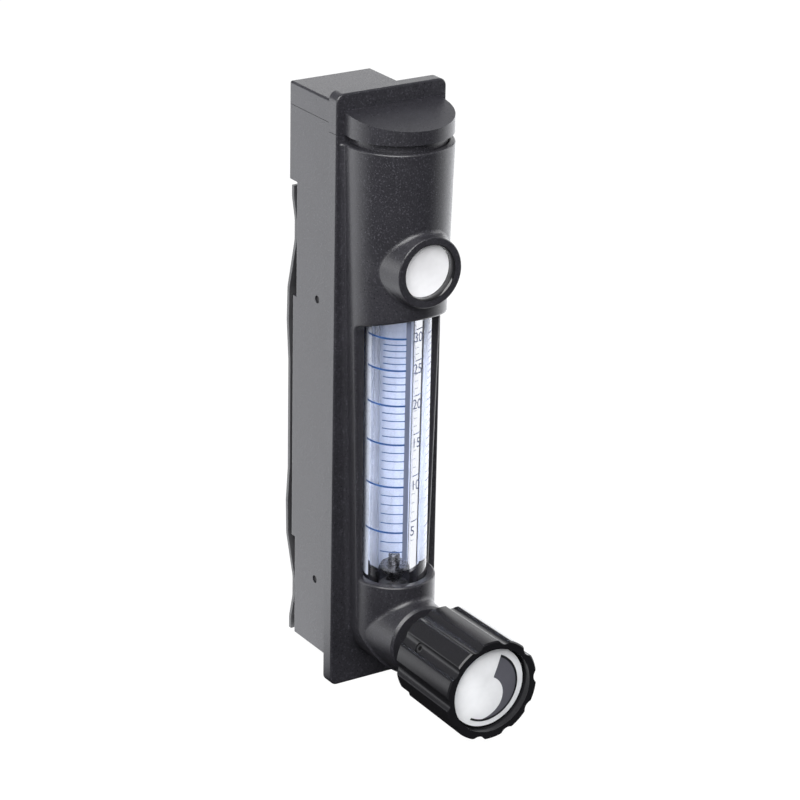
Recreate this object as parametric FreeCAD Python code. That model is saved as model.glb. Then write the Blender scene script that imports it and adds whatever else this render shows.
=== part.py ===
import FreeCAD, Part
import math
import os

V = FreeCAD.Vector

# Panel-mount rotameter with a front needle valve.
# X runs across the flange, +Y to the rear of the panel and +Z up. The origin is the middle
# of the flange's rear face, which seats on the panel. All sizes are in millimetres.
# Heights start from the port spacing: pieces near the top are placed from the flange's top or
# the outlet, and pieces near the bottom from the valve, so the window and tube take up a change.

# ---- driving dimensions -------------------------------------------------------------------
# heights of the whole meter
port_spacing = 76.2
flange_past_inlet = 16.8
flange_past_outlet = 63.2
# bezel flange
flange_width = 31.0
flange_thick = 3.6
flange_corner = 2.0
flange_edge = 0.5
flange_fillet = 1.2
# box-shaped rear body
body_margin = 4.2
body_side_margin = 3.9
body_depth = 21.5
body_edge = 0.6
raised_depth = 1.65
raised_past_outlet = 3.9
raised_past_inlet = 14.5
block_depth = 3.5
block_height = 19.2
cap_height = 10.0
seam_gap = 0.12
# front column, a tapering half-round housing with a flat back
column_centre = -6.6
column_margin = 1.77
shroud_gap = 2.1
shroud_rim = 0.5
boss_below_rim = 29.5
window_below_boss = 16.0
window_slope = 0.28
window_corner = 2.0
window_edge = 0.8
wall_front = -8.1
channel_back = 0.9
channel_centre = -7.6
channel_gap_top = 1.9
channel_gap_bottom = 1.25
# tube, cup and scale backing
tube_axis = -8.3
tube_radius = 8.1
tube_above_valve = 8.3
tube_below_rim = 21.5
tube_edge = 0.8
bore_bottom = 3.95
bore_top = 4.65
seal_thick = 1.0
cup_depth = 6.6
cup_wall = 2.0
cup_clearance = 0.3
cup_edge = 0.6
backing_thick = 0.7
backing_half = 9.1
# float and its stops
float_radius = 3.65
float_stem = 1.45
float_stem_length = 2.6
float_head = 0.9
float_tail_length = 4.3
float_tip = 0.5
float_edge = 0.2
stop_length = 3.1
stop_hole = 1.05
stop_hole_circle = 2.3
# plunger, spring and cap plug above the tube
channel_above_tube = 5.5
plunger_bore = 6.5
plunger_foot_inset = 0.7
plunger_foot = 2.0
plunger_length = 8.0
plunger_hole = 1.8
plunger_ring_wire = 0.6
plunger_ring_up = 5.0
spring_wire = 0.45
spring_radius = 4.6
spring_turns = 3.5
spring_height = 5.0
# lid of the cap
lid_margin = 1.9
lid_centre = -6.5
lid_below_flange_top = 4.2
lid_front_thick = 3.4
neck_inset = 1.7
neck_depth = 2.8
# badge boss
boss_front = -22.0
boss_side = 2.76
boss_taper = 1.3
boss_wall = 1.9
boss_root = -14.0
boss_fillet = 1.2
boss_edge = 0.35
badge_thick = 0.8
badge_depth = 2.5
# needle valve on the lower column
barrel_front = -22.3
barrel_side = 0.2
barrel_taper = 0.9
barrel_chamfer = 0.6
barrel_fillet = 1.4
feed_radius = 1.2
feed_at = -11.7
bonnet_radius = 4.5
bonnet_length = 8.8
bonnet_head_radius = 6.6
bonnet_head = 2.7
bonnet_ring_wire = 0.45
bonnet_ring_back = 1.9
chamber_radius = 3.15
chamber_length = 3.0
seat_thick = 1.5
orifice_radius = 1.2
passage_radius = 2.0
stem_radius = 2.0
stem_ring_back = 3.7
stem_ring_wire = 0.42
stem_in_knob = 16.4
needle_shoulder = 0.3
needle_taper = 0.15
needle_past_seat = 4.5
# knob
knob_gap = 7.3
knob_length = 23.9
knob_radius = 13.15
knob_rear_radius = 12.8
flute_count = 10
flute_radius = 2.3
flute_depth = 1.0
flute_phase = 15.0
lobe_edge = 0.6
knob_front_edge = 0.35
knob_rear_edge = 0.5
knob_ring = 2.2
knob_dish = 3.1
knob_hub_radius = 5.5
knob_skirt = 8.0
knob_wall = 2.6
knob_cap_margin = 0.55
knob_cap_edge = 0.8
knob_cap_crown = 1.0
knob_cap_plug_radius = 3.0
knob_cap_plug = 2.6
set_screw_from_rear = 6.3
set_screw_radius = 1.2
set_screw_sunk = 0.15
set_screw_flute = -57.0
# rear ports
insert_radius = 5.95
insert_length = 11.6
insert_flange_radius = 7.5
insert_flange = 1.5
port_thread_radius = 4.4
port_depth = 9.5
insert_ring_wire = 0.5
insert_ring_from_back = 6.7
pin_radius = 0.95
pin_offset = 6.4
pin_from_back = 10.4
pin_inset = 0.4
# bent strap behind the body
strap_inset = 0.2
strap_thick = 1.0
strap_port_gap = 0.5
strap_bend = 5.0
strap_tip_gap = 1.5
strap_screw_drop = 12.7
strap_flat = 2.7
strap_tip_lift = 1.4
strap_crest_lift = 3.65
strap_dip_lift = 2.75
strap_shoulder_lift = 3.35
strap_foot_lift = 1.65
strap_tip_length = 3.0
strap_shoulder_past_outlet = 5.2
strap_crest_below_outlet = 3.8
strap_dip_below_outlet = 14.4
strap_dip_past_inlet = 32.3
strap_crest_past_inlet = 23.0
strap_shoulder_past_inlet = 13.7
strap_foot_below_inlet = 9.2
strap_foot_length = 3.4
strap_screw_radius = 1.25
strap_head_radius = 2.4
strap_head = 1.6
strap_screw_length = 9.0
# fits
slip = 0.05
seat_gap = 0.1

# ---- derived places -----------------------------------------------------------------------
flange_height = flange_past_inlet + port_spacing + flange_past_outlet
flange_top = flange_height / 2
flange_front = -flange_thick
valve_height = flange_past_inlet - flange_top
outlet_height = valve_height + port_spacing
body_half = flange_width / 2 - body_side_margin
column_half_top = flange_width / 2 - column_margin
lid_radius = flange_width / 2 - lid_margin
body_top = flange_top - body_margin
body_bottom = -body_top
raised_top = outlet_height + raised_past_outlet
raised_bottom = valve_height + raised_past_inlet
raised_back = body_depth + raised_depth
cap_seam = flange_top - cap_height
block_bottom = cap_seam - block_height
block_back = body_depth + block_depth
shroud_top = cap_seam - shroud_gap
boss_height = shroud_top - boss_below_rim
window_top_side = boss_height - window_below_boss
tube_bottom = valve_height + tube_above_valve
tube_top = shroud_top - tube_below_rim
cup_floor = tube_bottom - seal_thick
cup_rim = cup_floor + cup_depth
cup_bore = tube_radius + cup_clearance
cup_radius = cup_bore + cup_wall
channel_top = tube_top + channel_above_tube
plunger_bottom = tube_top + seal_thick
plunger_top = plunger_bottom + plunger_length
plug_bottom = plunger_top + spring_height
neck_bottom = shroud_top - neck_depth
lid_top = flange_top - lid_below_flange_top
channel_half_top = tube_radius + channel_gap_top
channel_half_bottom = tube_radius + channel_gap_bottom
plunger_foot_radius = tube_radius - plunger_foot_inset
barrel_root_radius = cup_radius - barrel_side
barrel_radius = barrel_root_radius - barrel_taper
float_bottom = tube_bottom + stop_length + seat_gap
float_length = float_tail_length + float_head + float_stem_length


def column_half_width(z):
    """Half width of the column, which narrows evenly from its rim to the cup's width."""
    share = (z - valve_height) / (shroud_top - valve_height)
    return cup_radius + (column_half_top - cup_radius) * share


boss_root_radius = column_half_width(boss_height) - boss_side
boss_radius = boss_root_radius - boss_taper
badge_radius = boss_radius - boss_wall
badge_floor = boss_front + badge_depth + badge_thick
bonnet_inner = barrel_front + bonnet_length
seat_front = bonnet_inner + chamber_length
stem_shoulder = bonnet_inner + needle_shoulder
needle_tip = seat_front + needle_past_seat
knob_rear = barrel_front - knob_gap
knob_front = knob_rear - knob_length
stem_front = knob_rear - stem_in_knob
stem_ring_at = bonnet_inner - stem_ring_back
knob_dish_radius = knob_radius - knob_ring
knob_cap_radius = knob_dish_radius - knob_cap_margin
flute_circle = knob_radius + flute_radius - flute_depth
insert_inner = body_depth - insert_length
insert_ring_at = body_depth - insert_ring_from_back
pin_depth = body_depth - pin_from_back
strap_half = body_half - strap_inset
strap_port_radius = insert_flange_radius + strap_port_gap
strap_screw_at = block_bottom - strap_screw_drop
# the strap's inner face as (height, lift off the body's back face)
strap_line = [
    (block_bottom - strap_tip_gap, strap_tip_lift),
    (block_bottom - strap_tip_gap - strap_tip_length, strap_tip_lift),
    (strap_screw_at + strap_flat, 0.0),
    (strap_screw_at - strap_flat, 0.0),
    (outlet_height + strap_shoulder_past_outlet, strap_shoulder_lift),
    (outlet_height - strap_crest_below_outlet, strap_crest_lift),
    (outlet_height - strap_dip_below_outlet, strap_dip_lift),
    (valve_height + strap_dip_past_inlet, strap_dip_lift),
    (valve_height + strap_crest_past_inlet, strap_crest_lift),
    (valve_height + strap_shoulder_past_inlet, strap_shoulder_lift),
    (valve_height + strap_flat, 0.0),
    (valve_height - strap_flat, 0.0),
    (valve_height - strap_foot_below_inlet, strap_foot_lift),
    (valve_height - strap_foot_below_inlet - strap_foot_length, strap_foot_lift),
]
# cutters run this far past what they cut
reach = flange_width


# ---- small makers -------------------------------------------------------------------------
def block(x0, x1, y0, y1, z0, z1):
    return Part.makeBox(x1 - x0, y1 - y0, z1 - z0, V(x0, y0, z0))


def rod_y(radius, y0, y1, z, x=0.0):
    return Part.makeCylinder(radius, y1 - y0, V(x, y0, z), V(0, 1, 0))


def rod_z(radius, z0, z1, y=tube_axis):
    return Part.makeCylinder(radius, z1 - z0, V(0, y, z0), V(0, 0, 1))


def cone_y(r0, y0, r1, y1, z):
    return Part.makeCone(r0, r1, y1 - y0, V(0, y0, z), V(0, 1, 0))


def ring(major, wire, centre, axis):
    return Part.makeTorus(major, wire, centre, axis)


def turned(points, centre, axis):
    """Solid of revolution from (radius, height) points along an axis."""
    outline = [V(r, 0, h) for r, h in points]
    face = Part.Face(Part.makePolygon(outline + outline[:1]))
    solid = face.revolve(V(0, 0, 0), V(0, 0, 1), 360)
    solid.Placement = FreeCAD.Placement(centre, FreeCAD.Rotation(V(0, 0, 1), axis))
    return solid


def u_outline(half, centre, back, z):
    """Flat-backed outline whose front is a half circle about (0, centre)."""
    left = V(-half, centre, z)
    right = V(half, centre, z)
    nose = V(0, centre - half, z)
    edges = [
        Part.LineSegment(V(-half, back, z), left).toShape(),
        Part.Arc(left, nose, right).toShape(),
        Part.LineSegment(right, V(half, back, z)).toShape(),
        Part.LineSegment(V(half, back, z), V(-half, back, z)).toShape(),
    ]
    return Part.Wire(edges)


def u_body(half0, z0, half1, z1, centre, back):
    return Part.makeLoft([u_outline(half0, centre, back, z0),
                          u_outline(half1, centre, back, z1)], True, True)


def u_prism(half, z0, z1, centre, back):
    return Part.Face(u_outline(half, centre, back, z0)).extrude(V(0, 0, z1 - z0))


def edges_on(shape, test):
    """Edges whose middle point passes the test."""
    found = []
    for edge in shape.Edges:
        first, last = edge.ParameterRange
        if test(edge.valueAt((first + last) / 2), edge):
            found.append(edge)
    return found


# ---- housing ------------------------------------------------------------------------------
def flange_plate(z0, z1, round_top):
    half = flange_width / 2
    plate = block(-half, half, flange_front, 0, z0, z1)
    end = z1 if round_top else z0
    corners = edges_on(plate, lambda p, e: abs(abs(p.x) - half) < 0.01
                       and abs(p.z - end) < 0.01 and abs(p.y - flange_front / 2) < 0.01)
    plate = plate.makeFillet(flange_corner, corners)
    rim = edges_on(plate, lambda p, e: abs(p.y - flange_front) < 0.01
                   and abs(p.z - (z0 if round_top else z1)) > 0.01)
    return plate.makeFillet(flange_edge, rim)


def rear_body():
    """Box behind the panel with its raised middle and its deeper upper block."""
    box = block(-body_half, body_half, -flange_thick / 2, body_depth, body_bottom, cap_seam)
    middle = block(-body_half, body_half, body_depth / 2, raised_back, raised_bottom, raised_top)
    upper = block(-body_half, body_half, body_depth / 2, block_back, block_bottom, cap_seam)
    rear = box.fuse([middle, upper]).removeSplitter()
    return rear.makeFillet(body_edge, edges_on(
        rear, lambda p, e: abs(abs(p.x) - body_half) < 0.01 and p.y > body_depth - 0.01
        and min(abs(p.y - y) for y in (body_depth, raised_back, block_back)) < 0.01
        and abs(p.z - cap_seam) > 0.01 or abs(p.z - body_bottom) < 0.01 and p.y > body_depth - 0.01))


def housing_column():
    z0 = valve_height
    outer = u_body(column_half_width(z0), z0, column_half_width(shroud_top), shroud_top,
                   column_centre, flange_front / 2)
    far = wall_front - reach
    front = [V(-reach, wall_front, z0), V(-reach, wall_front, window_top_side),
             V(-reach, far, window_top_side + reach * window_slope), V(-reach, far, z0)]
    window = Part.Face(Part.makePolygon(front + front[:1])).extrude(V(2 * reach, 0, 0))
    window = window.makeFillet(window_corner, edges_on(window, lambda p, e: abs(p.x) < 0.01
                               and abs(p.y - wall_front) < 0.01 and abs(p.z - window_top_side) < 0.01))
    return outer.cut(window)


def lower_column():
    """Round cup and the rounded lower end that carries the valve barrel."""
    post = u_prism(cup_radius, valve_height - cup_radius, cup_rim, tube_axis, flange_front / 2)
    end = rod_y(cup_radius, tube_axis - cup_radius, flange_front / 2, valve_height)
    above = block(-reach, reach, -reach, 0, valve_height, cup_rim)
    post = post.common(end.fuse(above))
    barrel = cone_y(barrel_radius, barrel_front + barrel_chamfer, barrel_root_radius,
                    tube_axis, valve_height)
    nose = cone_y(barrel_radius - barrel_chamfer, barrel_front, barrel_radius,
                  barrel_front + barrel_chamfer, valve_height)
    return post.fuse([barrel, nose])


def badge_boss():
    boss = cone_y(boss_radius, boss_front, boss_root_radius, boss_root, boss_height)
    return boss.makeFillet(boss_edge, edges_on(boss, lambda p, e: abs(p.y - boss_front) < 0.01))


def is_free_curve(edge):
    return edge.Curve.TypeId == "Part::GeomBSplineCurve"


def front_moulding():
    """Flange with the column, cup, valve barrel and badge boss, joined by soft fillets."""
    front = flange_plate(-flange_top, cap_seam, False)
    front = front.fuse([housing_column(), lower_column(), badge_boss()]).removeSplitter()
    front = front.makeFillet(barrel_fillet, edges_on(
        front, lambda p, e: is_free_curve(e) and p.z < cup_rim and p.y < tube_axis - 0.1))
    front = front.makeFillet(boss_fillet, edges_on(
        front, lambda p, e: is_free_curve(e) and abs(p.z - boss_height) < boss_root_radius))
    half = flange_width / 2
    front = front.makeFillet(flange_fillet, edges_on(
        front, lambda p, e: abs(p.y - flange_front) < 0.01 and abs(p.x) < half - 1
        and body_bottom < p.z < shroud_top - 0.1))
    front = front.makeFillet(cup_edge, edges_on(
        front, lambda p, e: abs(p.z - cup_rim) < 0.01 and e.Length > 2 * cup_radius + 1))
    return front.makeFillet(window_edge, edges_on(
        front, lambda p, e: e.Curve.TypeId == "Part::GeomEllipse" and p.y < wall_front - window_corner
        and abs(p.z - window_top_side) < boss_root_radius / 2))


def housing():
    shell = front_moulding().fuse(rear_body())
    # channel for the tube, open to the front between the walls and closed by the shroud above
    channel = u_body(channel_half_bottom, cup_rim, channel_half_top, channel_top,
                     channel_centre, channel_back)
    cuts = [
        channel,
        rod_z(cup_bore, cup_floor, cup_rim + 1),
        rod_z(plunger_bore, channel_top - 1, shroud_top + 1),
        u_prism(column_half_top - neck_inset, neck_bottom, cap_seam, column_centre, flange_front),
        # badge recess
        rod_y(badge_radius + 0.15, boss_front - 1, badge_floor, boss_height),
        # valve bores, front to rear
        rod_y(bonnet_radius + slip, barrel_front - 1, bonnet_inner, valve_height),
        rod_y(chamber_radius, bonnet_inner - 1, seat_front + seat_thick, valve_height),
        rod_y(passage_radius, seat_front, insert_inner + 1, valve_height),
        rod_z(feed_radius, valve_height, cup_floor + 1, feed_at),
        # outlet passage behind the plunger chamber
        rod_y(passage_radius, tube_axis, body_depth / 2, plug_bottom - passage_radius),
        rod_z(passage_radius, outlet_height, plug_bottom - passage_radius, body_depth / 2),
        Part.makeCylinder(strap_screw_radius + slip, strap_screw_length,
                          V(0, body_depth - strap_screw_length, strap_screw_at), V(0, 1, 0)),
    ]
    for height in (valve_height, outlet_height):
        cuts.append(rod_y(insert_radius + slip, insert_inner, block_back, height))
        cuts.append(Part.makeCylinder(pin_radius + slip, 2 * body_half + 2,
                                      V(-body_half - 1, pin_depth, height + pin_offset), V(1, 0, 0)))
    shell = shell.cut(cuts)
    return shell.makeFillet(shroud_rim, edges_on(
        shell, lambda p, e: abs(p.z - shroud_top) < 0.01 and e.Curve.TypeId == "Part::GeomCircle"))


def top_cap():
    seam = cap_seam + seam_gap
    back = flange_plate(seam, flange_top, True)
    body = block(-body_half, body_half, -flange_thick / 2, block_back, seam, body_top)
    body = body.makeFillet(body_edge, edges_on(body, lambda p, e: abs(p.y - block_back) < 0.01
                           and p.z > seam + 0.01 or abs(abs(p.x) - body_half) < 0.01
                           and abs(p.z - body_top) < 0.01))
    lid = u_prism(lid_radius, cap_seam, lid_top, lid_centre, flange_front / 2)
    front_top = cap_seam + lid_front_thick
    lid_front = lid_centre - lid_radius
    slope = [V(-reach, flange_front, lid_top), V(-reach, lid_front, front_top),
             V(-reach, lid_front, lid_top + 1), V(-reach, flange_front, lid_top + 1)]
    lid = lid.cut(Part.Face(Part.makePolygon(slope + slope[:1])).extrude(V(2 * reach, 0, 0)))
    neck_half = column_half_top - neck_inset - 2 * slip
    neck = u_prism(neck_half, neck_bottom + slip, cap_seam, column_centre, flange_front - slip)
    plug = rod_z(plunger_bore - slip, plug_bottom, neck_bottom + 1)
    hollow = rod_z(passage_radius, plug_bottom, neck_bottom)
    return back.fuse([body, lid, neck, plug]).cut(hollow)


# ---- tube, float and what holds them ------------------------------------------------------
def glass_tube():
    r = tube_radius
    outline = [(bore_bottom, tube_bottom), (r - tube_edge, tube_bottom), (r, tube_bottom + tube_edge),
               (r, tube_top - tube_edge), (r - tube_edge, tube_top), (bore_top, tube_top)]
    return turned(outline, V(0, tube_axis, 0), V(0, 0, 1))


def tube_seal(z0):
    return rod_z(tube_radius, z0, z0 + seal_thick).cut(rod_z(bore_bottom, z0 - 1, z0 + seal_thick + 1))


def bore_radius(z):
    return bore_bottom + (bore_top - bore_bottom) * (z - tube_bottom) / (tube_top - tube_bottom)


def float_stop(z0):
    """Plug in the tapered bore with three gas holes."""
    outline = [(0, z0), (bore_radius(z0) - slip, z0),
               (bore_radius(z0 + stop_length) - slip, z0 + stop_length), (0, z0 + stop_length)]
    body = turned(outline, V(0, tube_axis, 0), V(0, 0, 1))
    holes = []
    for k in range(3):
        angle = math.radians(90 + 120 * k)
        spot = V(stop_hole_circle * math.cos(angle), tube_axis + stop_hole_circle * math.sin(angle), z0 - 1)
        holes.append(Part.makeCylinder(stop_hole, stop_length + 2, spot))
    return body.cut(holes)


def float_body():
    head = float_tail_length + float_head
    outline = [(0, 0), (float_tip, 0), (float_radius, float_tail_length), (float_radius, head),
               (float_stem, head), (float_stem, float_length - float_edge),
               (float_stem - float_edge, float_length),
               (0, float_length)]
    return turned(outline, V(0, tube_axis, float_bottom), V(0, 0, 1))


def plunger():
    body = rod_z(plunger_foot_radius, plunger_bottom, plunger_bottom + plunger_foot)
    body = body.fuse(rod_z(plunger_bore - slip, plunger_bottom, plunger_top))
    middle = plunger_bottom + plunger_ring_up
    half = 1.3 * plunger_ring_wire
    groove = rod_z(plunger_bore + 1, middle - half, middle + half)
    groove = groove.cut(rod_z(plunger_bore - slip - 2 * plunger_ring_wire, middle - 2 * half,
                              middle + 2 * half))
    return body.cut([rod_z(plunger_hole, plunger_bottom - 1, plunger_top + 1), groove])


def plunger_ring():
    wire = plunger_ring_wire
    return ring(plunger_bore - slip - wire, wire,
                V(0, tube_axis, plunger_bottom + plunger_ring_up), V(0, 0, 1))


def spring():
    height = plug_bottom - plunger_top - 2 * spring_wire - 2 * slip
    helix = Part.makeHelix(height / spring_turns, height, spring_radius)
    profile = Part.Wire(Part.makeCircle(spring_wire, V(spring_radius, 0, 0), V(0, 1, 0)))
    coil = Part.Wire(helix.Edges).makePipeShell([profile], True, True)
    coil.translate(V(0, tube_axis, plunger_top + spring_wire + slip))
    return coil


def backing():
    return block(-backing_half, backing_half, channel_back - backing_thick, channel_back,
                 cup_rim, channel_top)


# ---- valve --------------------------------------------------------------------------------
def bonnet():
    body = rod_y(bonnet_radius, barrel_front, bonnet_inner, valve_height)
    head = rod_y(bonnet_head_radius, barrel_front - bonnet_head, barrel_front, valve_height)
    hexagon = Part.makePolygon([V(bonnet_head_radius * math.cos(math.radians(60 * k)),
                                  barrel_front - bonnet_head,
                                  valve_height + bonnet_head_radius * math.sin(math.radians(60 * k)))
                                for k in range(7)])
    head = head.common(Part.Face(hexagon).extrude(V(0, bonnet_head, 0)))
    half = 1.5 * bonnet_ring_wire
    middle = bonnet_inner - bonnet_ring_back
    groove = rod_y(bonnet_radius + 1, middle - half, middle + half, valve_height)
    groove = groove.cut(rod_y(bonnet_radius - 2 * bonnet_ring_wire, middle - 2 * half,
                              middle + 2 * half, valve_height))
    bore = rod_y(stem_radius + slip, barrel_front - bonnet_head - 1, bonnet_inner + 1, valve_height)
    return body.fuse(head).cut([groove, bore])


def bonnet_ring():
    return ring(bonnet_radius - bonnet_ring_wire, bonnet_ring_wire,
                V(0, bonnet_inner - bonnet_ring_back, valve_height), V(0, 1, 0))


def valve_seat():
    body = rod_y(chamber_radius - slip, seat_front, seat_front + seat_thick, valve_height)
    return body.cut(rod_y(orifice_radius, seat_front - 1, seat_front + seat_thick + 1, valve_height))


def valve_stem():
    body = rod_y(stem_radius, stem_front, stem_shoulder, valve_height)
    root = orifice_radius - slip + needle_taper * (seat_front - stem_shoulder)
    tip = root - needle_taper * (needle_tip - stem_shoulder)
    needle = cone_y(root, stem_shoulder, tip, needle_tip, valve_height)
    floor = stem_radius + slip / 2 - 2 * stem_ring_wire
    half = stem_ring_wire * 1.5
    groove = rod_y(stem_radius + 1, stem_ring_at - half, stem_ring_at + half, valve_height)
    groove = groove.cut(rod_y(floor, stem_ring_at - 2, stem_ring_at + 2, valve_height))
    return body.fuse(needle).cut(groove)


def stem_ring():
    return ring(stem_radius + slip / 2 - stem_ring_wire + slip / 4, stem_ring_wire,
                V(0, stem_ring_at, valve_height), V(0, 1, 0))


# ---- knob ---------------------------------------------------------------------------------
def on_knob(radius, angle, y):
    """Point at a radius and an angle from straight up, clockwise seen from the front."""
    turn = math.radians(angle)
    return V(radius * math.sin(turn), y, valve_height + radius * math.cos(turn))


def fluted_blank():
    """Tapering knob blank with round grooves along it and softened lobes between them."""
    body = cone_y(knob_radius, knob_front, knob_rear_radius, knob_rear, valve_height)
    flutes = []
    for k in range(flute_count):
        angle = flute_phase + 360 * k / flute_count
        start = on_knob(flute_circle, angle, knob_front)
        along = on_knob(flute_circle - knob_radius + knob_rear_radius, angle, knob_rear) - start
        along.normalize()
        flutes.append(Part.makeCylinder(flute_radius, knob_length + 4, start - along * 2, along))
    body = body.cut(flutes)
    middle = (knob_front + knob_rear) / 2
    body = body.makeFillet(lobe_edge, edges_on(body, lambda p, e: abs(p.y - middle) < 1))
    envelope = turned([(0, 0), (knob_radius - knob_front_edge, 0), (knob_radius, knob_front_edge),
                       (knob_rear_radius, knob_length - knob_rear_edge),
                       (knob_rear_radius - knob_rear_edge, knob_length), (0, knob_length)],
                      V(0, knob_front, valve_height), V(0, 1, 0))
    return body.common(envelope)


def knob():
    body = fluted_blank()
    cuts = [rod_y(knob_dish_radius, knob_front - 1, knob_front + knob_dish, valve_height)]
    skirt = rod_y(knob_radius - knob_wall, knob_rear - knob_skirt, knob_rear + 1, valve_height)
    skirt = skirt.cut(rod_y(knob_hub_radius, knob_rear - knob_skirt - 1, knob_rear + 2, valve_height))
    cuts.append(skirt)
    cuts.append(rod_y(stem_radius + slip, stem_front - slip, knob_rear + 1, valve_height))
    cuts.append(rod_y(knob_cap_plug_radius + slip, knob_front, knob_front + knob_dish + knob_cap_plug,
                      valve_height))
    cuts.append(set_screw_rod(set_screw_radius + slip, stem_radius, knob_radius + 1))
    return body.cut(cuts)


def set_screw_rod(radius, inner, outer):
    y = knob_rear - set_screw_from_rear
    start = on_knob(inner, set_screw_flute, y)
    direction = on_knob(outer, set_screw_flute, y) - start
    return Part.makeCylinder(radius, outer - inner, start, direction)


def knob_set_screw():
    outer = knob_rear_radius - flute_depth - set_screw_sunk
    body = set_screw_rod(set_screw_radius, stem_radius + slip, outer)
    return body.cut(set_screw_rod(set_screw_radius * 0.5, outer - 1.4, outer + 1))


def knob_cap():
    r = knob_cap_radius
    floor = knob_front + knob_dish
    sphere_radius = (r * r + knob_cap_crown * knob_cap_crown) / (2 * knob_cap_crown)
    disc = rod_y(r, floor - knob_cap_edge - knob_cap_crown, floor, valve_height)
    ball_y = floor - knob_cap_edge - knob_cap_crown + sphere_radius
    disc = disc.common(Part.makeSphere(sphere_radius, V(0, ball_y, valve_height)))
    plug = rod_y(knob_cap_plug_radius, floor, floor + knob_cap_plug - slip, valve_height)
    return disc.fuse(plug)


# ---- ports and strap ----------------------------------------------------------------------
def port_insert(height, seat_y):
    body = rod_y(insert_radius, insert_inner + slip, seat_y, height)
    flange = rod_y(insert_flange_radius, seat_y, seat_y + insert_flange, height)
    end = seat_y + insert_flange
    thread = rod_y(port_thread_radius, end - port_depth, end + 1, height)
    way = rod_y(passage_radius, insert_inner - 1, end, height)
    pin_groove = rod_y(insert_radius + 1, pin_depth - pin_radius - slip, pin_depth + pin_radius + slip, height)
    pin_groove = pin_groove.cut(rod_y(pin_offset - pin_radius - slip, pin_depth - 2 * pin_radius,
                                      pin_depth + 2 * pin_radius, height))
    half = insert_ring_wire * 1.4
    ring_groove = rod_y(insert_radius + 1, insert_ring_at - half, insert_ring_at + half, height)
    ring_groove = ring_groove.cut(rod_y(insert_radius - 2 * insert_ring_wire, insert_ring_at - 2,
                                        insert_ring_at + 2, height))
    return body.fuse(flange).cut([thread, way, pin_groove, ring_groove])


def insert_ring(height):
    return ring(insert_radius - insert_ring_wire, insert_ring_wire, V(0, insert_ring_at, height), V(0, 1, 0))


def cross_pins():
    pins = []
    for height in (valve_height, outlet_height):
        start = V(-body_half + pin_inset, pin_depth, height + pin_offset)
        pins.append(Part.makeCylinder(pin_radius, 2 * (body_half - pin_inset), start, V(1, 0, 0)))
    return Part.makeCompound(pins)


def strap():
    """Bent strip: straight legs between soft bends, flat where it is screwed down."""
    inner = [V(-strap_half, body_depth + lift, z) for z, lift in strap_line]
    outer = [V(-strap_half, body_depth + lift + strap_thick, z) for z, lift in strap_line]
    outline = inner + outer[::-1]
    sheet = Part.Face(Part.makePolygon(outline + outline[:1])).extrude(V(2 * strap_half, 0, 0))
    bends = [z for z, lift in strap_line[1:-1]]
    sheet = sheet.makeFillet(strap_bend, edges_on(
        sheet, lambda p, e: abs(p.x) < 0.01 and min(abs(p.z - z) for z in bends) < 0.01))
    holes = [rod_y(strap_port_radius, body_depth / 2, block_back + 5, valve_height),
             rod_y(strap_port_radius, body_depth / 2, block_back + 5, outlet_height),
             rod_y(strap_screw_radius + slip, body_depth / 2, block_back + 5, strap_screw_at)]
    return sheet.cut(holes)


def strap_screw():
    seat = body_depth + strap_thick
    shank = rod_y(strap_screw_radius, seat - strap_screw_length, seat, strap_screw_at)
    head = rod_y(strap_head_radius, seat, seat + strap_head, strap_screw_at)
    slot = block(-strap_head_radius, strap_head_radius, seat + strap_head * 0.55, seat + strap_head + 1,
                 strap_screw_at - 0.3, strap_screw_at + 0.3)
    return shank.fuse(head).cut(slot)


# ---- all pieces ---------------------------------------------------------------------------
pieces = {
    "housing": housing(),
    "top_cap": top_cap(),
    "badge_disc": rod_y(badge_radius, badge_floor - badge_thick, badge_floor, boss_height),
    "scale_backing": backing(),
    "glass_tube": glass_tube(),
    "lower_tube_seal": tube_seal(cup_floor),
    "upper_tube_seal": tube_seal(tube_top),
    "lower_float_stop": float_stop(tube_bottom),
    "upper_float_stop": float_stop(tube_top - stop_length),
    "float": float_body(),
    "tube_plunger": plunger(),
    "plunger_o_ring": plunger_ring(),
    "plunger_spring": spring(),
    "valve_bonnet": bonnet(),
    "bonnet_o_ring": bonnet_ring(),
    "valve_seat": valve_seat(),
    "valve_stem": valve_stem(),
    "stem_o_ring": stem_ring(),
    "knob": knob(),
    "knob_cap": knob_cap(),
    "knob_set_screw": knob_set_screw(),
    "inlet_insert": port_insert(valve_height, body_depth),
    "outlet_insert": port_insert(outlet_height, raised_back),
    "inlet_o_ring": insert_ring(valve_height),
    "outlet_o_ring": insert_ring(outlet_height),
    "cross_pins": cross_pins(),
    "rear_strap": strap(),
    "strap_screw": strap_screw(),
}

os.makedirs("parts", exist_ok=True)
for name, shape in pieces.items():
    shape.exportStep("parts/" + name + ".step")
    print(name, "valid", shape.isValid(), "solids", len(shape.Solids), "volume", round(shape.Volume, 1))
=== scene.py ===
import math
import bmesh
import bpy
from mathutils import Matrix, Vector


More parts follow.
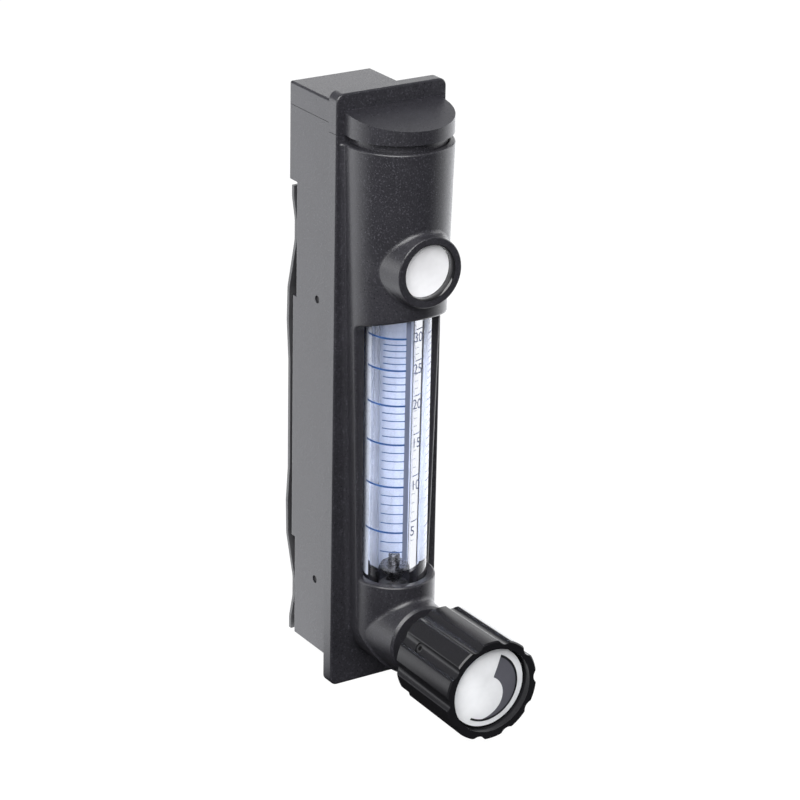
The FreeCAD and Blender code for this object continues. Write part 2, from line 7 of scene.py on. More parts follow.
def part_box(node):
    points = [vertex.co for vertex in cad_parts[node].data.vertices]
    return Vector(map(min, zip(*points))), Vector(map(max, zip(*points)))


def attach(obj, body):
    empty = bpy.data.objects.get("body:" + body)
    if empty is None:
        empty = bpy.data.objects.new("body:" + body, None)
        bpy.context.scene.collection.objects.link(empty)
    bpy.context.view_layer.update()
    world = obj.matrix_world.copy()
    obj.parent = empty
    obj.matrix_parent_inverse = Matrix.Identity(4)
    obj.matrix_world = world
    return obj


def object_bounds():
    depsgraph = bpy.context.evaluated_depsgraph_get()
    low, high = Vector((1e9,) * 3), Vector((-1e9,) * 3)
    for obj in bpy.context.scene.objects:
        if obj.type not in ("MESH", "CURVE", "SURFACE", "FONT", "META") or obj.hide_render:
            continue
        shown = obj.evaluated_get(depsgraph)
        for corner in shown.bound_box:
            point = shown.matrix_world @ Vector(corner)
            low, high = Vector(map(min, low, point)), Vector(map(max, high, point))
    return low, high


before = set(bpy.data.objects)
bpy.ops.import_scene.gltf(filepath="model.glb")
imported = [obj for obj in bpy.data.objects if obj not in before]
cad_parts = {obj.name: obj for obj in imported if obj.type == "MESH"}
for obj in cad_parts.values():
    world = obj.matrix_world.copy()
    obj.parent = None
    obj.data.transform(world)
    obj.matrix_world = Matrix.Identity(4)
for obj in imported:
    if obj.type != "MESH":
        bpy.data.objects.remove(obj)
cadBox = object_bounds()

# metres and degrees; colours are linear light


def centre(node):
    low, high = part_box(node)
    return (Vector(low) + Vector(high)) / 2


# makes a node and sets what it is told, such as its operation
def addNode(tree, kind, **settings):
    node = tree.nodes.new(kind)
    for key, value in settings.items():
        setattr(node, key, value)
    return node


# a link where the value is another node's output, else a fixed value
def feed(tree, socket, value):
    if isinstance(value, bpy.types.NodeSocket):
        tree.links.new(value, socket)
    else:
        socket.default_value = value


def maths(tree, operation, first, second=None):
    node = addNode(tree, "ShaderNodeMath", operation=operation)
    feed(tree, node.inputs[0], first)
    if second is not None:
        feed(tree, node.inputs[1], second)
    return node.outputs[0]


# runs from low to high while the value runs from fromLow to fromHigh
def ranged(tree, value, low, high, fromLow=0.3, fromHigh=0.7):
    node = addNode(tree, "ShaderNodeMapRange")
    for key, number in (("From Min", fromLow), ("From Max", fromHigh), ("To Min", low), ("To Max", high)):
        node.inputs[key].default_value = number
    tree.links.new(value, node.inputs["Value"])
    return node.outputs["Result"]


def tinted(tree, value, dark, light, fromLow=0.3, fromHigh=0.7):
    node = addNode(tree, "ShaderNodeValToRGB")
    first, last = node.color_ramp.elements
    first.position, last.position = fromLow, fromHigh
    first.color, last.color = (*dark, 1.0), (*light, 1.0)
    tree.links.new(value, node.inputs["Fac"])
    return node.outputs["Color"]


def mixedShader(tree, share, first, second):
    mix = addNode(tree, "ShaderNodeMixShader")
    tree.links.new(share, mix.inputs["Fac"])
    tree.links.new(first, mix.inputs[1])
    tree.links.new(second, mix.inputs[2])
    return mix.outputs[0]


def objectCoords(tree):
    return addNode(tree, "ShaderNodeTexCoord").outputs["Object"]


def stretched(tree, stretch):
    mapping = addNode(tree, "ShaderNodeMapping")
    mapping.inputs["Scale"].default_value = stretch
    tree.links.new(objectCoords(tree), mapping.inputs["Vector"])
    return mapping.outputs["Vector"]


def noise(tree, coords, size, detail=3.0, roughness=0.55):
    node = addNode(tree, "ShaderNodeTexNoise")
    node.inputs["Scale"].default_value = size
    node.inputs["Detail"].default_value = detail
    node.inputs["Roughness"].default_value = roughness
    tree.links.new(coords, node.inputs["Vector"])
    return node.outputs["Fac"]


def bumped(tree, shader, height, strength, distance):
    bump = addNode(tree, "ShaderNodeBump")
    bump.inputs["Strength"].default_value = strength
    bump.inputs["Distance"].default_value = distance
    tree.links.new(height, bump.inputs["Height"])
    tree.links.new(bump.outputs["Normal"], shader.inputs["Normal"])


def shaded(colour, amount):
    return tuple(min(1.0, part * amount) for part in colour)


def newMaterial(name):
    mat = bpy.data.materials.new(name)
    mat.use_nodes = True
    return mat, mat.node_tree, mat.node_tree.nodes["Principled BSDF"]


mould = {"cloudSize": 70.0, "cloudDark": 0.85, "cloudLight": 1.18, "glossSpread": 0.07,
         "grainDepth": 0.00012, "speckFrom": 0.58, "speckTo": 0.7}


# light specks on the tips of the grain
def speckled(tree, base, grain, light):
    mix = addNode(tree, "ShaderNodeMix", data_type="RGBA")
    share, first, second = mix.inputs[0], mix.inputs[6], mix.inputs[7]  # the sockets of a colour mix
    tree.links.new(ranged(tree, grain, 0.0, 1.0, mould["speckFrom"], mould["speckTo"]), share)
    tree.links.new(base, first)
    second.default_value = (*light, 1.0)
    return mix.outputs[2]


# fine grain, slow cloudiness and an uneven gloss; grainSize is in grains for each metre
def plastic(name, colour, rough, grain, grainSize, sparkle=0.0, specks=0.0, gloss=0.5):
    mat, tree, shader = newMaterial(name)
    cloud = noise(tree, objectCoords(tree), mould["cloudSize"], detail=4.0)
    fine = noise(tree, objectCoords(tree), grainSize, detail=2.0, roughness=0.6)
    base = tinted(tree, cloud, shaded(colour, mould["cloudDark"]), shaded(colour, mould["cloudLight"]))
    if specks:
        base = speckled(tree, base, fine, shaded(colour, specks))
    tree.links.new(base, shader.inputs["Base Color"])
    spread = mould["glossSpread"]
    tree.links.new(ranged(tree, fine, rough - spread - sparkle, rough + spread), shader.inputs["Roughness"])
    shader.inputs["Specular IOR Level"].default_value = gloss
    bumped(tree, shader, fine, grain, mould["grainDepth"])
    return mat


turning = {"markSize": 900.0, "dark": 0.8, "light": 1.1, "glossSpread": 0.08,
           "strength": 0.25, "depth": 0.00003}


# turned or drawn metal; streak squeezes the marks across the way that the tool ran
def metal(name, colour, rough, streak):
    mat, tree, shader = newMaterial(name)
    marks = noise(tree, stretched(tree, streak), turning["markSize"])
    dark, light = shaded(colour, turning["dark"]), shaded(colour, turning["light"])
    tree.links.new(tinted(tree, marks, dark, light), shader.inputs["Base Color"])
    spread = turning["glossSpread"]
    tree.links.new(ranged(tree, marks, rough - spread, rough + spread), shader.inputs["Roughness"])
    shader.inputs["Metallic"].default_value = 1.0
    bumped(tree, shader, marks, turning["strength"], turning["depth"])
    return mat


thread = {"pitch": 0.00094, "radius": 0.00445, "strength": 0.8, "depth": 0.0003}


# port fitting with a pipe thread, which is drawn only near the ports' axes
def threadedMetal(name, colour, rough):
    mat = metal(name, colour, rough, (1.0, 6.0, 1.0))
    tree = mat.node_tree
    split = addNode(tree, "ShaderNodeSeparateXYZ")
    tree.links.new(objectCoords(tree), split.inputs[0])
    turns = maths(tree, "MULTIPLY", split.outputs["Y"], 2 * math.pi / thread["pitch"])
    inside = maths(tree, "LESS_THAN", maths(tree, "ABSOLUTE", split.outputs["X"]), thread["radius"])
    ridges = maths(tree, "MULTIPLY", maths(tree, "SINE", turns), inside)
    bumped(tree, tree.nodes["Principled BSDF"], ridges, thread["strength"], thread["depth"])
    return mat


clearTube = {"ior": 1.47, "waveStretch": (1.0, 1.0, 0.05), "waveSize": 260.0,
             "strength": 0.05, "depth": 0.0001}


# clear tube, faintly wavy along its length, that lets the lamps through to the print and the plate
def glass(name, tint):
    mat, tree, shader = newMaterial(name)
    shader.inputs["Base Color"].default_value = (*tint, 1.0)
    shader.inputs["Roughness"].default_value = 0.0
    shader.inputs["IOR"].default_value = clearTube["ior"]
    shader.inputs["Transmission Weight"].default_value = 1.0
    waves = noise(tree, stretched(tree, clearTube["waveStretch"]), clearTube["waveSize"], detail=2.0)
    bumped(tree, shader, waves, clearTube["strength"], clearTube["depth"])
    clear = addNode(tree, "ShaderNodeBsdfTransparent")
    path = addNode(tree, "ShaderNodeLightPath").outputs
    both = mixedShader(tree, path["Is Shadow Ray"], shader.outputs[0], clear.outputs[0])
    tree.links.new(both, tree.nodes["Material Output"].inputs["Surface"])
    return mat


# plastics and inks: name, colour, roughness, depth of the grain, fineness of the grain
plastics = {
    "moulding": ("mouldedPlastic", (0.0175, 0.0171, 0.0208), 0.38, 0.14, 2600.0),
    "knob": ("knobPlastic", (0.0085, 0.0084, 0.0097), 0.2, 0.02, 7000.0),
    "cap": ("capPlastic", (0.80, 0.81, 0.83), 0.36, 0.05, 1500.0),
    "badge": ("badgePlastic", (0.79, 0.79, 0.81), 0.2, 0.02, 900.0),
    "backing": ("backingPlastic", (0.36, 0.42, 0.56), 0.45, 0.03, 900.0),
    "stop": ("stopPlastic", (0.02, 0.02, 0.022), 0.4, 0.1, 1500.0),
    "opal": ("opalStripe", (0.55, 0.59, 0.70), 0.3, 0.02, 900.0),
    "rubber": ("sealRubber", (0.015, 0.015, 0.016), 0.6, 0.2, 3000.0),
    "strap": ("strapCoating", (0.045, 0.045, 0.048), 0.42, 0.2, 2200.0),
    "bonnet": ("bonnetCoating", (0.012, 0.012, 0.013), 0.38, 0.1, 2000.0),
    "crescent": ("crescentInk", (0.10, 0.10, 0.118), 0.4, 0.05, 1500.0),
    "crescentRim": ("crescentRimInk", (0.008, 0.008, 0.01), 0.4, 0.05, 1500.0),
    "liner": ("linerGloss", (0.01, 0.01, 0.011), 0.1, 0.02, 900.0),
    "blue": ("scaleBlue", (0.014, 0.065, 0.22), 0.4, 0.05, 2500.0),
    "fine": ("scaleFine", (0.22, 0.26, 0.42), 0.4, 0.05, 2500.0),
    "label": ("scaleLabel", (0.08, 0.1, 0.19), 0.4, 0.05, 2500.0),
    # grey of the painted shade where the bore shows through the glass
    "band": ("paintedBoreShade", (0.13, 0.15, 0.22), 0.4, 0.05, 2500.0),
    "pin": ("pinCoating", (0.008, 0.008, 0.009), 0.6, 0.2, 2500.0),
}
plasticExtras = {
    "moulding": {"sparkle": 0.05, "specks": 3.0},
    "knob": {"sparkle": -0.05, "gloss": 0.3},
}
looks = {look: plastic(*values, **plasticExtras.get(look, {})) for look, values in plastics.items()}
looks["steel"] = metal("floatSteel", (0.16, 0.16, 0.17), 0.25, (1.0, 1.0, 8.0))
looks["stem"] = metal("stemSteel", (0.34, 0.34, 0.34), 0.3, (1.0, 8.0, 1.0))
looks["fitting"] = threadedMetal("fittingSteel", (0.27, 0.265, 0.26), 0.34)
looks["glass"] = glass("tubeGlass", (0.93, 0.95, 1.0))

nodeLooks = {
    "housing": "moulding", "top_cap": "moulding", "badge_disc": "badge", "scale_backing": "backing",
    "glass_tube": "glass", "lower_tube_seal": "rubber", "upper_tube_seal": "rubber",
    "lower_float_stop": "stop", "upper_float_stop": "stop", "float": "steel", "tube_plunger": "fitting",
    "plunger_o_ring": "rubber", "plunger_spring": "steel", "valve_bonnet": "bonnet",
    "bonnet_o_ring": "rubber", "valve_seat": "fitting", "valve_stem": "stem", "stem_o_ring": "rubber",
    "knob": "knob", "knob_cap": "cap", "knob_set_screw": "bonnet", "inlet_insert": "fitting",
    "outlet_insert": "fitting", "inlet_o_ring": "rubber", "outlet_o_ring": "rubber",
    "cross_pins": "pin", "rear_strap": "strap", "strap_screw": "stem",
}
for node, look in nodeLooks.items():
    for place in bpy.data.objects[node].material_slots:
        place.material = looks[look]
print("materials done")


def newMesh(name, verts, faces, smooth=True):
    mesh = bpy.data.meshes.new(name)
    mesh.from_pydata([tuple(vert) for vert in verts], [], faces)
    mesh.validate()
    mesh.update()
    for face in mesh.polygons:
        face.use_smooth = smooth
    return mesh


def evaluatedMesh(ob):
    return bpy.data.meshes.new_from_object(ob.evaluated_get(bpy.context.evaluated_depsgraph_get()))


# a finished piece at the origin, with its look and the body that carries it
def addPiece(name, mesh, look, body):
    mesh.name = name
    if look:
        mesh.materials.clear()
        mesh.materials.append(looks[look])
    ob = bpy.data.objects.new(name, mesh)
    bpy.context.scene.collection.objects.link(ob)
    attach(ob, body)


tubeLow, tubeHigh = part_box("glass_tube")
tubeAxis = centre("glass_tube")
tube = {"radius": (tubeHigh[0] - tubeLow[0]) / 2, "printLift": 0.00003, "stripeSink": 0.00001}
# a value stands at zero + perUnit * d + perUnitSquared * d * d, where d is the value less the base
scale = {
    "first": 3, "last": 30, "labelEvery": 5,
    "base": 5.0, "zero": -0.0334, "perUnit": 0.002567, "perUnitSquared": -0.00002036,
    "minorFrom": -59.0, "minorTo": -18.5, "majorFrom": -97.0, "majorTo": -18.5,
    "fineFrom": 31.0, "fineTo": 56.0, "fineMajorTo": 80.0,
    "minorWidth": 0.00025, "majorWidth": 0.00048, "fineWidth": 0.00014, "fineMajorWidth": 0.00028,
    "linePoints": 25,
}
numbers = {"angle": -5.0, "height": 0.0026, "narrow": 0.7, "capShare": 0.7,
           "strip": 0.0003, "strips": 20, "weld": 1e-6}
stripes = {
    # from angle, to angle, foot above the tube's lower end, head below its upper end, look
    "opalStripe": (92.0, 274.0, 0.0065, 0.001, "opal"),
    # painted shade: a grey band standing for the bore seen through the glass
    "paintedBoreShade": (-19.0, -10.0, 0.012, 0.001, "band"),
}


# a point on the tube's outside, its angle counted from the front and positive towards +X
def onTube(angle, z, lift=0.0):
    turn = math.radians(angle)
    r = tube["radius"] + tube["printLift"] + lift
    return Vector((tubeAxis.x + r * math.sin(turn), tubeAxis.y - r * math.cos(turn), z))


def scaleHeight(value):
    past = value - scale["base"]
    return scale["zero"] + scale["perUnit"] * past + scale["perUnitSquared"] * past * past


# a row of lines: flat copies with X as their angle in radians, then wrapped round the tube
def makeTickTree():
    tree = bpy.data.node_groups.new("tickRows", "GeometryNodeTree")
    face = tree.interface
    face.new_socket("Geometry", in_out="INPUT", socket_type="NodeSocketGeometry")
    face.new_socket("Geometry", in_out="OUTPUT", socket_type="NodeSocketGeometry")
    for name, kind in (("First", "Float"), ("Step", "Float"), ("Count", "Int"), ("Angle From", "Float"),
                       ("Angle To", "Float"), ("Line Width", "Float"), ("Radius", "Float"),
                       ("Axis Y", "Float"), ("Base", "Float"), ("Zero", "Float"), ("Per Unit", "Float"),
                       ("Per Unit Squared", "Float"), ("Ink", "Material")):
        face.new_socket(name, in_out="INPUT", socket_type="NodeSocket" + kind)
    given = addNode(tree, "NodeGroupInput").outputs

    def calc(operation, first, second=None):
        return maths(tree, operation, first, second)

    def chain(kind, geometry):
        node = addNode(tree, kind)
        tree.links.new(geometry, node.inputs[0])
        return node

    line = addNode(tree, "GeometryNodeMeshLine")
    tree.links.new(given["Count"], line.inputs["Count"])
    index = addNode(tree, "GeometryNodeInputIndex").outputs[0]
    value = calc("ADD", given["First"], calc("MULTIPLY", index, given["Step"]))
    past = calc("SUBTRACT", value, given["Base"])
    rise = calc("ADD", calc("MULTIPLY", past, given["Per Unit"]),
                calc("MULTIPLY", calc("MULTIPLY", past, past), given["Per Unit Squared"]))
    middle = calc("MULTIPLY", calc("ADD", given["Angle From"], given["Angle To"]), math.pi / 360)
    spot = addNode(tree, "ShaderNodeCombineXYZ")
    feed(tree, spot.inputs["X"], middle)
    feed(tree, spot.inputs["Z"], calc("ADD", given["Zero"], rise))
    points = chain("GeometryNodeSetPosition", line.outputs["Mesh"])
    tree.links.new(spot.outputs[0], points.inputs["Position"])

    spread = calc("MULTIPLY", calc("SUBTRACT", given["Angle To"], given["Angle From"]), math.pi / 180)
    grid = addNode(tree, "GeometryNodeMeshGrid")
    grid.inputs["Vertices X"].default_value = scale["linePoints"]
    grid.inputs["Vertices Y"].default_value = 2
    feed(tree, grid.inputs["Size X"], spread)
    feed(tree, grid.inputs["Size Y"], given["Line Width"])
    upright = chain("GeometryNodeTransform", grid.outputs["Mesh"])
    upright.inputs["Rotation"].default_value = (math.pi / 2, 0.0, 0.0)
    copies = chain("GeometryNodeInstanceOnPoints", points.outputs[0])
    tree.links.new(upright.outputs[0], copies.inputs["Instance"])
    real = chain("GeometryNodeRealizeInstances", copies.outputs[0])

    flat = addNode(tree, "ShaderNodeSeparateXYZ")
    tree.links.new(addNode(tree, "GeometryNodeInputPosition").outputs[0], flat.inputs[0])
    across = calc("MULTIPLY", given["Radius"], calc("SINE", flat.outputs["X"]))
    forward = calc("MULTIPLY", given["Radius"], calc("COSINE", flat.outputs["X"]))
    wrap = addNode(tree, "ShaderNodeCombineXYZ")
    feed(tree, wrap.inputs["X"], across)
    feed(tree, wrap.inputs["Y"], calc("SUBTRACT", given["Axis Y"], forward))
    feed(tree, wrap.inputs["Z"], flat.outputs["Z"])
    bent = chain("GeometryNodeSetPosition", real.outputs[0])
    tree.links.new(wrap.outputs[0], bent.inputs["Position"])
    whole = chain("GeometryNodeRealizeInstances", bent.outputs[0])
    ink = chain("GeometryNodeSetMaterial", whole.outputs[0])
    tree.links.new(given["Ink"], ink.inputs["Material"])
    out = addNode(tree, "NodeGroupOutput")
    tree.links.new(ink.outputs[0], out.inputs["Geometry"])
    return tree


def addTicks(tree, name, first, step, count, angles, width, look):
    holder = bpy.data.objects.new(name + "Maker", bpy.data.meshes.new(name + "Maker"))
    bpy.context.scene.collection.objects.link(holder)
    modifier = holder.modifiers.new("ticks", "NODES")
    modifier.node_group = tree
    values = {"First": float(first), "Step": float(step), "Count": count, "Angle From": angles[0],
              "Angle To": angles[1], "Line Width": width, "Radius": tube["radius"] + tube["printLift"],
              "Axis Y": tubeAxis.y, "Base": scale["base"], "Zero": scale["zero"],
              "Per Unit": scale["perUnit"], "Per Unit Squared": scale["perUnitSquared"], "Ink": looks[look]}
    for item in tree.interface.items_tree:
        if item.in_out == "INPUT" and item.name in values:
            modifier[item.identifier] = values[item.name]
    holder.update_tag()
    bpy.context.view_layer.update()
    mesh = evaluatedMesh(holder)
    bpy.data.objects.remove(holder)
    addPiece(name, mesh, None, "root")  # its ink comes from the tree


# a number cut into upright strips, so that it bends with the tube
def addNumber(value):
    name = "scaleNumber%d" % value
    curve = bpy.data.curves.new(name + "Text", "FONT")
    curve.body = str(value)
    curve.align_x = "LEFT"
    curve.align_y = "CENTER"
    curve.size = numbers["height"] / numbers["capShare"]
    maker = bpy.data.objects.new(name + "Text", curve)
    bpy.context.scene.collection.objects.link(maker)
    bpy.context.view_layer.update()
    mesh = evaluatedMesh(maker)
    bpy.data.objects.remove(maker)
    bm = bmesh.new()
    bm.from_mesh(mesh)
    bmesh.ops.remove_doubles(bm, verts=bm.verts, dist=numbers["weld"])
    for strip in range(numbers["strips"]):
        bmesh.ops.bisect_plane(bm, geom=bm.verts[:] + bm.edges[:] + bm.faces[:],
                               plane_co=(strip * numbers["strip"], 0, 0), plane_no=(1, 0, 0))
    for vert in bm.verts:
        angle = numbers["angle"] + math.degrees(numbers["narrow"] * vert.co.x / tube["radius"])
        vert.co = onTube(angle, scaleHeight(value) + vert.co.y)
    bm.normal_update()
    inward = [face for face in bm.faces
              if (face.calc_center_median() - tubeAxis).to_2d().dot(face.normal.to_2d()) < 0]
    bmesh.ops.reverse_faces(bm, faces=inward)
    bm.to_mesh(mesh)
    bm.free()
    addPiece(name, mesh, "label", "root")


def addStripe(name, angleFrom, angleTo, foot, head, look, steps=64):
    verts, faces = [], []
    for k in range(steps + 1):
        angle = angleFrom + (angleTo - angleFrom) * k / steps
        for z in (tubeLow[2] + foot, tubeHigh[2] - head):
            verts.append(onTube(angle, z, -tube["stripeSink"]))
    for k in range(steps):
        faces.append((2 * k, 2 * k + 2, 2 * k + 3, 2 * k + 1))
    addPiece(name, newMesh(name, verts, faces), look, "root")


for name, values in stripes.items():
    addStripe(name, *values)
majors = range(scale["labelEvery"], scale["last"] + 1, scale["labelEvery"])
eachUnit = (scale["first"], 1, scale["last"] - scale["first"] + 1)  # first value, step, count
eachLabel = (majors[0], scale["labelEvery"], len(majors))
tickTree = makeTickTree()
addTicks(tickTree, "scaleMinorLines", *eachUnit, (scale["minorFrom"], scale["minorTo"]),
         scale["minorWidth"], "blue")
addTicks(tickTree, "scaleMajorLines", *eachLabel, (scale["majorFrom"], scale["majorTo"]),
         scale["majorWidth"], "blue")
addTicks(tickTree, "scaleFineLines", *eachUnit, (scale["fineFrom"], scale["fineTo"]),
         scale["fineWidth"], "fine")
addTicks(tickTree, "scaleFineMajors", *eachLabel, (scale["fineFrom"], scale["fineMajorTo"]),
         scale["fineMajorWidth"], "fine")
for value in majors:
    addNumber(value)
print("scale done")

# the crescent on the knob's cap, broad at its tip and thin at its tail, with its centres from the knob's
# axis; the flare of its tail fades out over one part in flareFade of its length
crescent = {
    "outerRadius": 0.0089, "outerCentre": (-0.0003, 0.0), "innerRadius": 0.0057,
    "innerCentre": (-0.0016, -0.00225), "tail": 238.0, "tip": 64.0, "notch": 61.0,
    "tailFlare": 0.0006, "flareFade": 3, "rim": 0.0006, "lift": 0.00004, "rimLift": 0.00003,
    "capCrown": 0.001,
}


# a point just above the domed front of the cap
def onCap(x, z, lift):
    low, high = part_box("knob_cap")
    axis = centre("knob_cap")
    radius, crown = (high[0] - low[0]) / 2, crescent["capCrown"]
    ball = (radius * radius + crown * crown) / (2 * crown)
    drop = ball - math.sqrt(max(0.0, ball * ball - x * x - z * z))
    return Vector((axis.x + x, low[1] + drop - crescent["lift"] - lift, axis.z + z))


def arcPoint(middle, radius, angle):
    turn = math.radians(angle)
    return middle[0] + radius * math.cos(turn), middle[1] + radius * math.sin(turn)


# the outer and the inner edge, from the tail to the tip
def crescentEdges(shrink, steps=40):
    outer, inner = [], []
    for k in range(steps + 1):
        share = k / steps
        outer.append(arcPoint(crescent["outerCentre"], crescent["outerRadius"] - shrink,
                              crescent["tail"] + (360 + crescent["tip"] - crescent["tail"]) * share))
        flare = crescent["tailFlare"] * max(0.0, 1 - crescent["flareFade"] * share)
        inner.append(arcPoint(crescent["innerCentre"], crescent["innerRadius"] + flare,
                              crescent["tail"] + (360 + crescent["notch"] - crescent["tail"]) * share))
    return outer, inner


def addCapPiece(name, first, second, look, lift, rows=8):
    verts, faces = [], []
    for start, end in zip(first, second):
        for row in range(rows + 1):
            share = row / rows
            verts.append(onCap(start[0] + (end[0] - start[0]) * share,
                               start[1] + (end[1] - start[1]) * share, lift))
    width = rows + 1
    for k in range(len(first) - 1):
        for row in range(rows):
            i = k * width + row
            faces.append((i, i + width, i + width + 1, i + 1))
    addPiece(name, newMesh(name, verts, faces), look, "valve_knob")


outerEdge, innerEdge = crescentEdges(0.0)
slimEdge = crescentEdges(crescent["rim"])[0]
addCapPiece("crescentMark", outerEdge, innerEdge, "crescent", 0.0)
addCapPiece("crescentRim", outerEdge, slimEdge, "crescentRim", crescent["rimLift"])

# glossy ring round the badge disc, by the wall of its recess; wall sizes are from the disc's radius
badge = {"gap": 0.00012, "reach": 0.0028, "foot": 0.0001, "innerFoot": -0.00002,
         "frontWall": -0.00002, "footWall": -0.00018, "rounds": 64}


def addLiner():
    low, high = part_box("badge_disc")
    axis = centre("badge_disc")
    radius, front = (high[0] - low[0]) / 2, axis.y - badge["reach"]
    profile = [
        (radius + badge["gap"], low[1] + badge["foot"]),
        (radius + badge["gap"], front),
        (radius + badge["frontWall"], front),
        (radius + badge["footWall"], low[1] + badge["innerFoot"]),
    ]
    rounds, corners = badge["rounds"], len(profile)
    verts, faces = [], []
    for k in range(rounds):
        turn = 2 * math.pi * k / rounds
        for r, y in profile:
            verts.append((axis.x + r * math.cos(turn), y, axis.z + r * math.sin(turn)))
    for k in range(rounds):
        here, there = k * corners, (k + 1) % rounds * corners
        for row in range(corners):
            after = (row + 1) % corners
            faces.append((here + row, here + after, there + after, there + row))
    mesh = newMesh("badgeLiner", verts, faces)
    bm = bmesh.new()
    bm.from_mesh(mesh)
    bmesh.ops.recalc_face_normals(bm, faces=bm.faces)
    bm.to_mesh(mesh)
    bm.free()
    addPiece("badgeLiner", mesh, "liner", "root")


addLiner()
print("marks done")

camera = {"azimuth": -32.79, "elevation": 21.95, "distance": 0.8044, "roll": 1.1075,
          "lens": 145.52, "aim": (0.003847, -0.0036, -0.003441), "sensor": 36.0, "clip": 0.01}
lights = {
    # azimuth, elevation, distance, width, height, power
    "front": (-43.0, 40.0, 0.8, 0.9, 0.7, 15.9),
    "left": (-112.0, 2.0, 0.9, 0.5, 0.5, 2.6),
    "right": (82.0, 8.0, 0.8, 0.5, 0.9, 3.2),
    "top": (-60.0, 78.0, 1.0, 0.6, 0.6, 0.5),
    "back": (146.0, 12.0, 0.9, 0.8, 0.5, 1.8),
}
lightsAim = (0.0, -0.01, 0.0)
# the room is dark in front of the object and bright behind it; away is the azimuth of its bright side,
# and a fade is from where to where along that way it brightens; on the floor this is painted: its colour
# carries painted shade in front and painted light behind, and its glow for gloss is a painted reflection
studio = {
    "away": 157.0, "worldBefore": 0.07, "worldBehind": 0.45, "worldFade": (-0.35, 0.4),
    "worldTint": (0.94, 0.95, 1.0), "floorHalf": 6.0, "floorShadeBefore": 0.06, "floorLightBehind": 0.7,
    "floorFade": (-0.4, 0.45), "floorSeen": 0.96, "floorShadow": 0.08,
    "paintedGlowBefore": 0.02, "paintedGlowBehind": 2.45, "glowTint": (0.96, 0.97, 1.0),
}


def viewDirection(azimuth, elevation):
    a, e = math.radians(azimuth), math.radians(elevation)
    return Vector((math.sin(a) * math.cos(e), -math.cos(a) * math.cos(e), math.sin(e)))


# 0 in front of the object and 1 behind it, by the level direction of a place or a ray
def behindShare(tree, source, fade):
    level = addNode(tree, "ShaderNodeVectorMath", operation="MULTIPLY")
    level.inputs[1].default_value = (1.0, 1.0, 0.0)
    way = addNode(tree, "ShaderNodeVectorMath", operation="NORMALIZE")
    away = addNode(tree, "ShaderNodeVectorMath", operation="DOT_PRODUCT")
    away.inputs[1].default_value = viewDirection(studio["away"], 0.0)
    tree.links.new(source, level.inputs[0])
    tree.links.new(level.outputs[0], way.inputs[0])
    tree.links.new(way.outputs[0], away.inputs[0])
    return ranged(tree, away.outputs["Value"], 0.0, 1.0, *fade)


def grey(level):
    return (level, level, level)


def newEmission(tree, colour, strength):
    glow = addNode(tree, "ShaderNodeEmission")
    glow.inputs["Color"].default_value = (*colour, 1.0)
    feed(tree, glow.inputs["Strength"], strength)
    return glow.outputs[0]


# seen straight or through glass the floor is pale with a soft shadow; to diffuse light its colour is
# painted shade in front and painted light behind, and gloss sees a painted glow behind the object, a
# painted reflection from no lamp
def makeFloor():
    low, half = cadBox[0][2], studio["floorHalf"]
    corners = [(-half, -half, low), (half, -half, low), (half, half, low), (-half, half, low)]
    mesh = newMesh("floor", corners, [(0, 1, 2, 3)], smooth=False)
    mat = bpy.data.materials.new("floorPaper")
    mat.use_nodes = True
    tree = mat.node_tree
    tree.nodes.clear()
    share = behindShare(tree, objectCoords(tree), studio["floorFade"])
    before, behind = grey(studio["floorShadeBefore"]), grey(studio["floorLightBehind"])
    # painted shade in front of the object and painted light behind it, in the colour that diffuse light
    # sees
    paintedBounce = addNode(tree, "ShaderNodeBsdfDiffuse")
    feed(tree, paintedBounce.inputs["Color"], tinted(tree, share, before, behind, 0.0, 1.0))
    # painted reflection: for gloss the floor glows behind the object, though it is no lamp
    strength = ranged(tree, share, studio["paintedGlowBefore"], studio["paintedGlowBehind"], 0.0, 1.0)
    paintedGlow = newEmission(tree, studio["glowTint"], strength)
    shadow = addNode(tree, "ShaderNodeBsdfDiffuse")
    shadow.inputs["Color"].default_value = (*grey(studio["floorShadow"]), 1.0)
    pale = addNode(tree, "ShaderNodeAddShader")
    tree.links.new(shadow.outputs[0], pale.inputs[0])
    tree.links.new(newEmission(tree, (1.0, 1.0, 1.0), studio["floorSeen"]), pale.inputs[1])
    path = addNode(tree, "ShaderNodeLightPath").outputs
    seen = maths(tree, "MAXIMUM", path["Is Camera Ray"], path["Is Transmission Ray"])
    unseen = mixedShader(tree, path["Is Glossy Ray"], paintedBounce.outputs[0], paintedGlow)
    out = addNode(tree, "ShaderNodeOutputMaterial")
    tree.links.new(mixedShader(tree, seen, unseen, pale.outputs[0]), out.inputs["Surface"])
    mesh.materials.append(mat)
    ob = bpy.data.objects.new("floor", mesh)
    bpy.context.scene.collection.objects.link(ob)


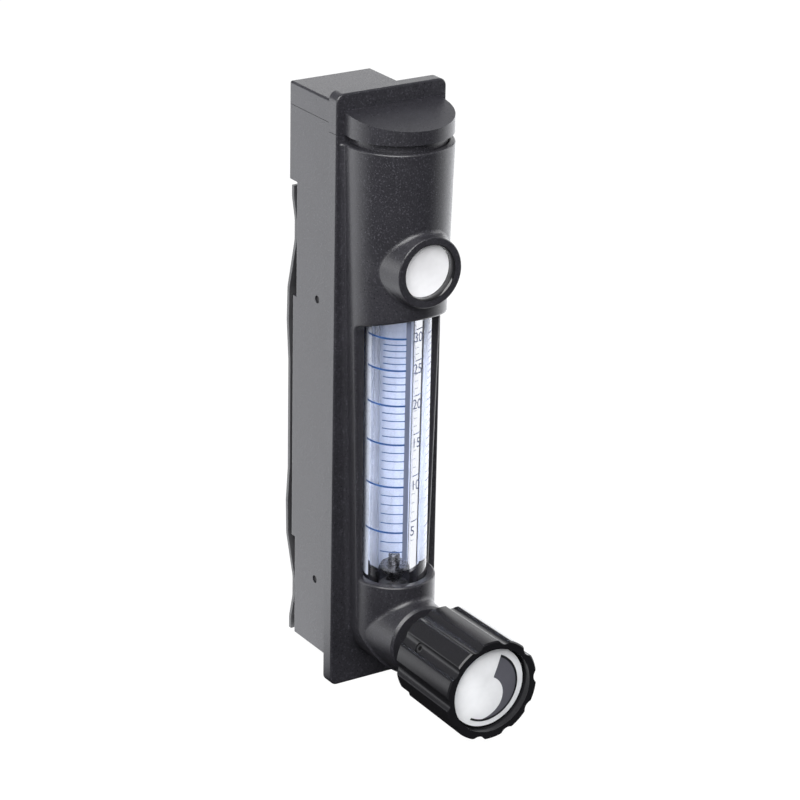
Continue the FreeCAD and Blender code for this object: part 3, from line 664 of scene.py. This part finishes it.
def makeWorld():
    world = bpy.data.worlds.new("studio")
    bpy.context.scene.world = world
    world.use_nodes = True
    tree = world.node_tree
    tree.nodes.clear()
    rays = addNode(tree, "ShaderNodeTexCoord").outputs["Generated"]
    share = behindShare(tree, rays, studio["worldFade"])
    soft = addNode(tree, "ShaderNodeBackground")
    soft.inputs["Color"].default_value = (*studio["worldTint"], 1.0)
    feed(tree, soft.inputs["Strength"],
         ranged(tree, share, studio["worldBefore"], studio["worldBehind"], 0.0, 1.0))
    white = addNode(tree, "ShaderNodeBackground")
    white.inputs["Color"].default_value = (1.0, 1.0, 1.0, 1.0)
    path = addNode(tree, "ShaderNodeLightPath").outputs
    both = mixedShader(tree, path["Is Camera Ray"], soft.outputs[0], white.outputs[0])
    tree.links.new(both, addNode(tree, "ShaderNodeOutputWorld").inputs["Surface"])


# stands a lamp or the camera at a distance from its aim, looking back at it
def standAt(direction, distance, aim, roll=0.0):
    turn = direction.to_track_quat("Z", "Y").to_matrix().to_4x4()
    return (Matrix.Translation(Vector(aim) + direction * distance) @ turn
            @ Matrix.Rotation(math.radians(roll), 4, "Z"))


def makeLights():
    for name, (azimuth, elevation, distance, width, height, power) in lights.items():
        lamp = bpy.data.lights.new(name, "AREA")
        lamp.shape = "RECTANGLE"
        lamp.size, lamp.size_y, lamp.energy = width, height, power
        ob = bpy.data.objects.new(name, lamp)
        ob.matrix_world = standAt(viewDirection(azimuth, elevation), distance, lightsAim)
        bpy.context.scene.collection.objects.link(ob)


def makeCamera():
    data = bpy.data.cameras.new("camera")
    data.lens, data.sensor_width, data.clip_start = camera["lens"], camera["sensor"], camera["clip"]
    ob = bpy.data.objects.new("camera", data)
    ob.matrix_world = standAt(viewDirection(camera["azimuth"], camera["elevation"]), camera["distance"],
                              camera["aim"], camera["roll"])
    bpy.context.scene.collection.objects.link(ob)
    bpy.context.scene.camera = ob


makeFloor()
makeWorld()
makeLights()
makeCamera()
bpy.context.scene.view_settings.view_transform = "Standard"
print("stage done")
